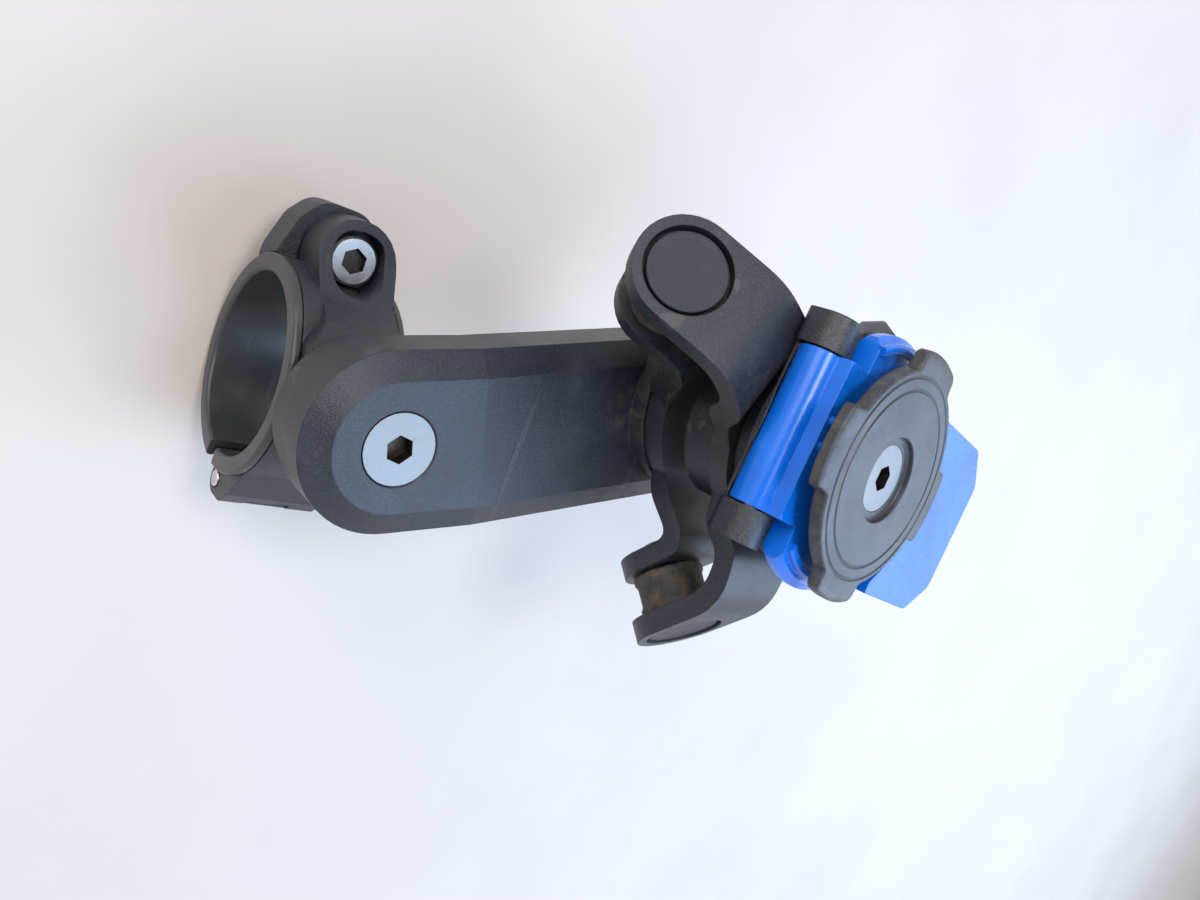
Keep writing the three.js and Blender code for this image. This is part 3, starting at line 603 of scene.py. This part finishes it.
def leverRibs(s):
    bodies = []
    low, top, half, r = s["low"], s["top"], s["half"], s["round"]
    for radius, start, end in s["arcs"]:
        profile = [(radius - half, low), (radius + half, low)]
        profile += arcPoints(radius + half - r, top - r, r, 0, 90, 4)
        profile += arcPoints(radius - half + r, top - r, r, 90, 180, 4)
        bodies.append(spun(profile, 28, headFrame @ turned(start, "Z"), end - start))
    for x, y in s["nubs"]:
        profile = [(atAxis, low), (s["nub"], low)] + arcPoints(s["nub"] - 0.4, top - 0.5, 0.4, 0, 85, 4)
        place = headFrame @ Matrix.Translation((x * mm, y * mm, 0))
        bodies.append(spun(profile + [(atAxis, top - 0.1)], 20, place, closed=False))
    joinBodies(pieces["release_lever"], bodies)


leverRibs(ribs)
print("lever ribs made")

# Twist disc

disc = {
    "bottom": 34.2, "top": 36.8, "root": 18.8, "lug": 21.8, "lugHalf": 17, "ramp": 5,
    "recess": 7.3, "floor": 35.7, "neck": 11, "neckBottom": 31.3, "bore": 3.25, "round": 0.55,
}


def lugShare(angle, s):
    # 1 on a lug, 0 between lugs, and a smooth step between them
    away = abs((math.degrees(angle) + 45) % 90 - 45)
    t = min(max((away - s["lugHalf"]) / s["ramp"], 0), 1)
    return 1 - t * t * (3 - 2 * t)


def grooveAt(radius, top):
    return [(radius - 0.3, top), (radius - 0.1, top - 0.22), (radius + 0.1, top - 0.22), (radius + 0.3, top)]


def discProfile(s):
    top, r, root, low, floor = s["top"], s["round"], s["root"], s["bottom"], s["floor"]
    recess, neck, bore = s["recess"], s["neck"], s["bore"]
    inner = [(bore + 2.6, floor), (recess - 0.3, floor), (recess, floor + 0.3), (recess, top - 0.3)]
    inner += [(recess + 0.12, top - 0.08), (recess + 0.35, top), (10, top), (13, top)]
    grooves = grooveAt(15.3, top) + grooveAt(17.5, top)
    rim = arcPoints(root - r, top - r, r, 90, 0, 4) + [(root, low + r)]
    rim += arcPoints(root - r, low + r, r, 0, -90, 4)
    under = [(16, low), (neck + 0.6, low), (neck, low - 0.5), (neck, s["neckBottom"])]
    under += [(bore, s["neckBottom"]), (bore, floor - 2.9)]
    return inner + grooves + rim + under


def twistDisc(s):
    bm = spun(discProfile(s), 180, Matrix.Identity(4))
    wear = wearLayer(bm)
    keep = 17.9 * mm
    span = s["root"] * mm - keep
    for v in bm.verts:
        radius = math.hypot(v.co.x, v.co.y)
        if radius > keep:
            angle = math.atan2(v.co.y, v.co.x)
            share = lugShare(angle, s) * min((radius - keep) / span, 1)
            grow = 1 + (s["lug"] - s["root"]) * mm * share / radius
            v.co.x *= grow
            v.co.y *= grow
    for face in bm.faces:
        middle = face.calc_center_median()
        if math.hypot(*middle.xy) > 18.3 * mm and abs(face.normal.z) < 0.93:
            face[wear] = 1.0
    bmesh.ops.transform(bm, matrix=headFrame, verts=bm.verts)
    finished(bm, "twist_disc_piece", "head", discNylon, ["twist_disc"], sharp=32)


twistDisc(disc)
print("disc made")

# Lever spring

springAt = -16.5  # millimetres from the head's axis


def springPiece():
    bm = cleanCopy("lever_spring")
    back = headFrame.inverted()
    heights = [(back @ v.co).z for v in bm.verts]
    foot = headFrame @ Vector((springAt * mm, 0, min(heights)))
    tip = headFrame @ Vector((springAt * mm, 0, max(heights)))
    finished(
        bm, "lever_spring_piece", ("head", "lever", foot, tip), dullSteel, ["lever_spring"],
        sharp=70,
    )


springPiece()

# Floor and light

floorLook = {"drop": 0.0006, "half": 6.0, "colour": (0.53, 0.475, 0.435)}


def makeFloor(s):
    bm = bmesh.new()
    bmesh.ops.create_grid(bm, x_segments=8, y_segments=8, size=s["half"])
    bmesh.ops.translate(bm, vec=(0, 0, cadBox[0][2] - s["drop"]), verts=bm.verts)
    mesh = bpy.data.meshes.new("floor")
    bm.to_mesh(mesh)
    bm.free()
    floor = bpy.data.objects.new("floor", mesh)
    scene.collection.objects.link(floor)
    r = Recipe("floor_sheet")
    soft = r.noise(14, 4, 0.5)
    colour = r.blend(r.ramp(soft, 0.3, 0.7), s["colour"], (0.565, 0.51, 0.465))
    mesh.materials.append(r.finish(colour, 0.55, r.noise(40, 5), 0.0004))


def makeLight(name, place, aim, size, power, colour):
    data = bpy.data.lights.new(name, "AREA")
    data.shape = "RECTANGLE"
    data.size, data.size_y = size
    data.energy = power
    data.color = colour
    light = bpy.data.objects.new(name, data)
    scene.collection.objects.link(light)
    direction = Vector(aim) - Vector(place)
    light.matrix_world = Matrix.Translation(place) @ direction.to_track_quat("-Z", "Y").to_matrix().to_4x4()


def makeWorld(low, high, edges):
    # Bright round the horizon and dim overhead, as in a white room under a dark ceiling
    world = bpy.data.worlds.new("world")
    world.use_nodes = True
    tree = world.node_tree
    coords = tree.nodes.new("ShaderNodeTexCoord")
    split = tree.nodes.new("ShaderNodeSeparateXYZ")
    ramp = tree.nodes.new("ShaderNodeMapRange")
    ramp.interpolation_type = "SMOOTHSTEP"
    ramp.inputs["From Min"].default_value, ramp.inputs["From Max"].default_value = edges
    mix = tree.nodes.new("ShaderNodeMix")
    mix.data_type = "RGBA"
    mix.inputs["A"].default_value = (*low, 1)
    mix.inputs["B"].default_value = (*high, 1)
    tree.links.new(coords.outputs["Generated"], split.inputs[0])
    tree.links.new(split.outputs["Z"], ramp.inputs["Value"])
    tree.links.new(ramp.outputs["Result"], mix.inputs["Factor"])
    tree.links.new(mix.outputs["Result"], tree.nodes["Background"].inputs["Color"])
    scene.world = world


middle = (0.05, 0.01, 0.03)
makeFloor(floorLook)
makeWorld((1.05, 1.03, 1.02), (0.3, 0.34, 0.44), (0.42, 0.8))
makeLight("window", (0.68, -0.1, 0.56), middle, (0.6, 0.6), 6.0, (0.48, 0.7, 1))
makeLight("sky", (0.3, -0.3, 0.8), middle, (0.5, 0.5), 4.0, (0.55, 0.75, 1))
makeLight("fill", (-0.6, 0.5, 0.42), middle, (0.5, 0.5), 3.6, (1, 0.95, 0.93))
makeLight("overhead", (-0.12, 0.3, 0.8), middle, (0.25, 0.25), 3.2, (1, 0.98, 0.95))
scene.view_settings.view_transform = "Standard"
print("stage made")
